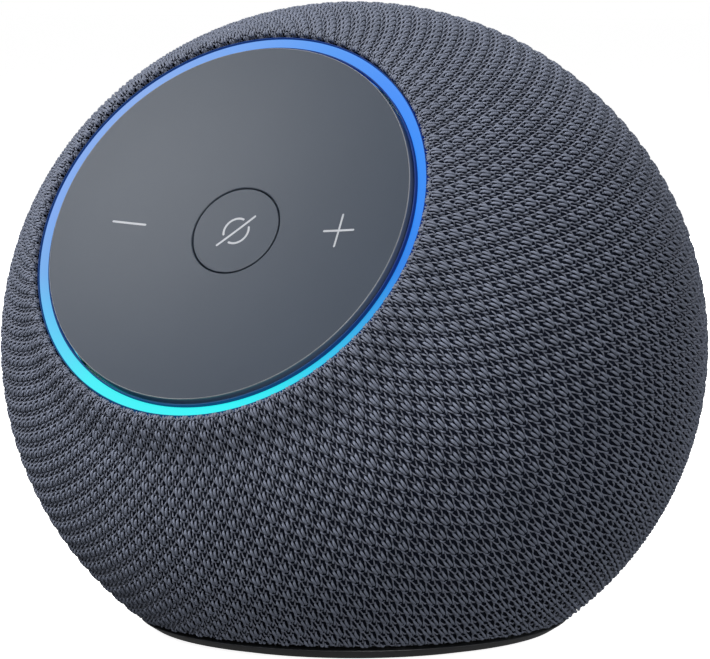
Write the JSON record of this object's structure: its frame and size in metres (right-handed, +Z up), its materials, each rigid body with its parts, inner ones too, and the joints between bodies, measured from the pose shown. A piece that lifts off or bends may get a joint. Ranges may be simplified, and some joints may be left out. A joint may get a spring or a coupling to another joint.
{
  "type": "smart speaker",
  "caption": "Ball-shaped smart speaker: knitted cover, tilted dished control face inside a lit ring, volume rocker, mute button, woofer and tweeter inside.",
  "frame": {"origin": "on the table, under the middle of the ball, at the underside of the rubber foot", "axes": "+Z up; -Y is the front, towards which the control face leans; +X is the plus side of the face, on the right as seen from the front"},
  "size_m": [0.1086, 0.1085, 0.0966],
  "materials": {
    "fabric": "graphite knit",
    "housing": "moulded, fine texture",
    "face": "soft satin, dished",
    "light_diffuser": "translucent, lit blue to cyan",
    "base_plastic": "satin",
    "rubber": "matt",
    "inner_plastic": "matt",
    "jack_moulding": "satin",
    "steel": "plated",
    "circuit_board": "solder mask",
    "driver_frame": "satin black",
    "driver_cone": "pressed cone",
    "driver_fabric": "woven, doped",
    "coil_copper": "wound copper",
    "ferrite": "ground ferrite",
    "cable_sleeve": "sleeve",
    "flat_cable": "polyimide"
  },
  "bodies": {
    "speaker": {"fabric_cover": "fabric", "upper_housing": "housing", "lower_housing": "housing", "light_ring": "light_diffuser", "base_ring": "base_plastic", "bottom_cover": "base_plastic", "rear_port_panel": "base_plastic", "rubber_foot": "rubber", "woofer_gasket": "rubber", "woofer_surround": "rubber", "front_carrier": "inner_plastic", "tweeter_cup": "inner_plastic", "dc_jack": "jack_moulding", "power_capacitor": "jack_moulding", "dc_jack_pin": "steel", "base_screw_1": "steel", "base_screw_2": "steel", "base_screw_3": "steel", "board_screw_1": "steel", "board_screw_2": "steel", "carrier_screw_1": "steel", "carrier_screw_2": "steel", "carrier_screw_3": "steel", "plate_pivot_pin_top": "steel", "plate_pivot_pin_bottom": "steel", "woofer_screw_1": "steel", "woofer_screw_2": "steel", "woofer_screw_3": "steel", "woofer_screw_4": "steel", "tweeter_screw_1": "steel", "tweeter_screw_2": "steel", "woofer_top_plate": "steel", "woofer_yoke": "steel", "processor_shield": "steel", "microphone_left": "steel", "microphone_right": "steel", "mute_switch": "steel", "volume_down_switch": "steel", "volume_up_switch": "steel", "main_board": "circuit_board", "control_board": "circuit_board", "led_board": "circuit_board", "woofer_basket": "driver_frame", "woofer_grille": "driver_frame", "tweeter_grille": "driver_frame", "tweeter_faceplate": "driver_frame", "woofer_spider": "driver_fabric", "woofer_magnet": "ferrite", "tweeter_magnet": "ferrite", "woofer_lead": "cable_sleeve", "tweeter_lead": "cable_sleeve", "control_ribbon": "flat_cable"},
    "control_plate_body": {"control_plate": "face"},
    "mute_button_body": {"mute_button": "face", "mute_plunger": "inner_plastic"},
    "woofer_diaphragm": {"woofer_cone": "driver_cone", "woofer_dust_cap": "driver_cone", "woofer_voice_coil": "coil_copper"},
    "tweeter_diaphragm": {"tweeter_dome": "driver_fabric"}
  },
  "joints": [
    {"name": "volume_rock", "type": "hinge", "parent": "speaker", "child": "control_plate_body", "pos_m": [0, -0.0353, 0.06313], "axis": [0, 0.5299, 0.848], "range_deg": [-0.8, 0.8], "stiffness_Nm_per_rad": 0.5},
    {"name": "mute_press", "type": "slide", "parent": "speaker", "child": "mute_button_body", "axis": [0, 0.848, -0.5299], "range_m": [0, 0.0004], "stiffness_N_per_m": 500},
    {"name": "woofer_excursion", "type": "slide", "parent": "speaker", "child": "woofer_diaphragm", "axis": [0, 0.8387, 0.5446], "range_m": [-0.0025, 0.0025], "stiffness_N_per_m": 1000},
    {"name": "tweeter_excursion", "type": "slide", "parent": "speaker", "child": "tweeter_diaphragm", "axis": [0, -0.8387, -0.5446], "range_m": [-0.0002, 0.0002], "stiffness_N_per_m": 1000}
  ]
}
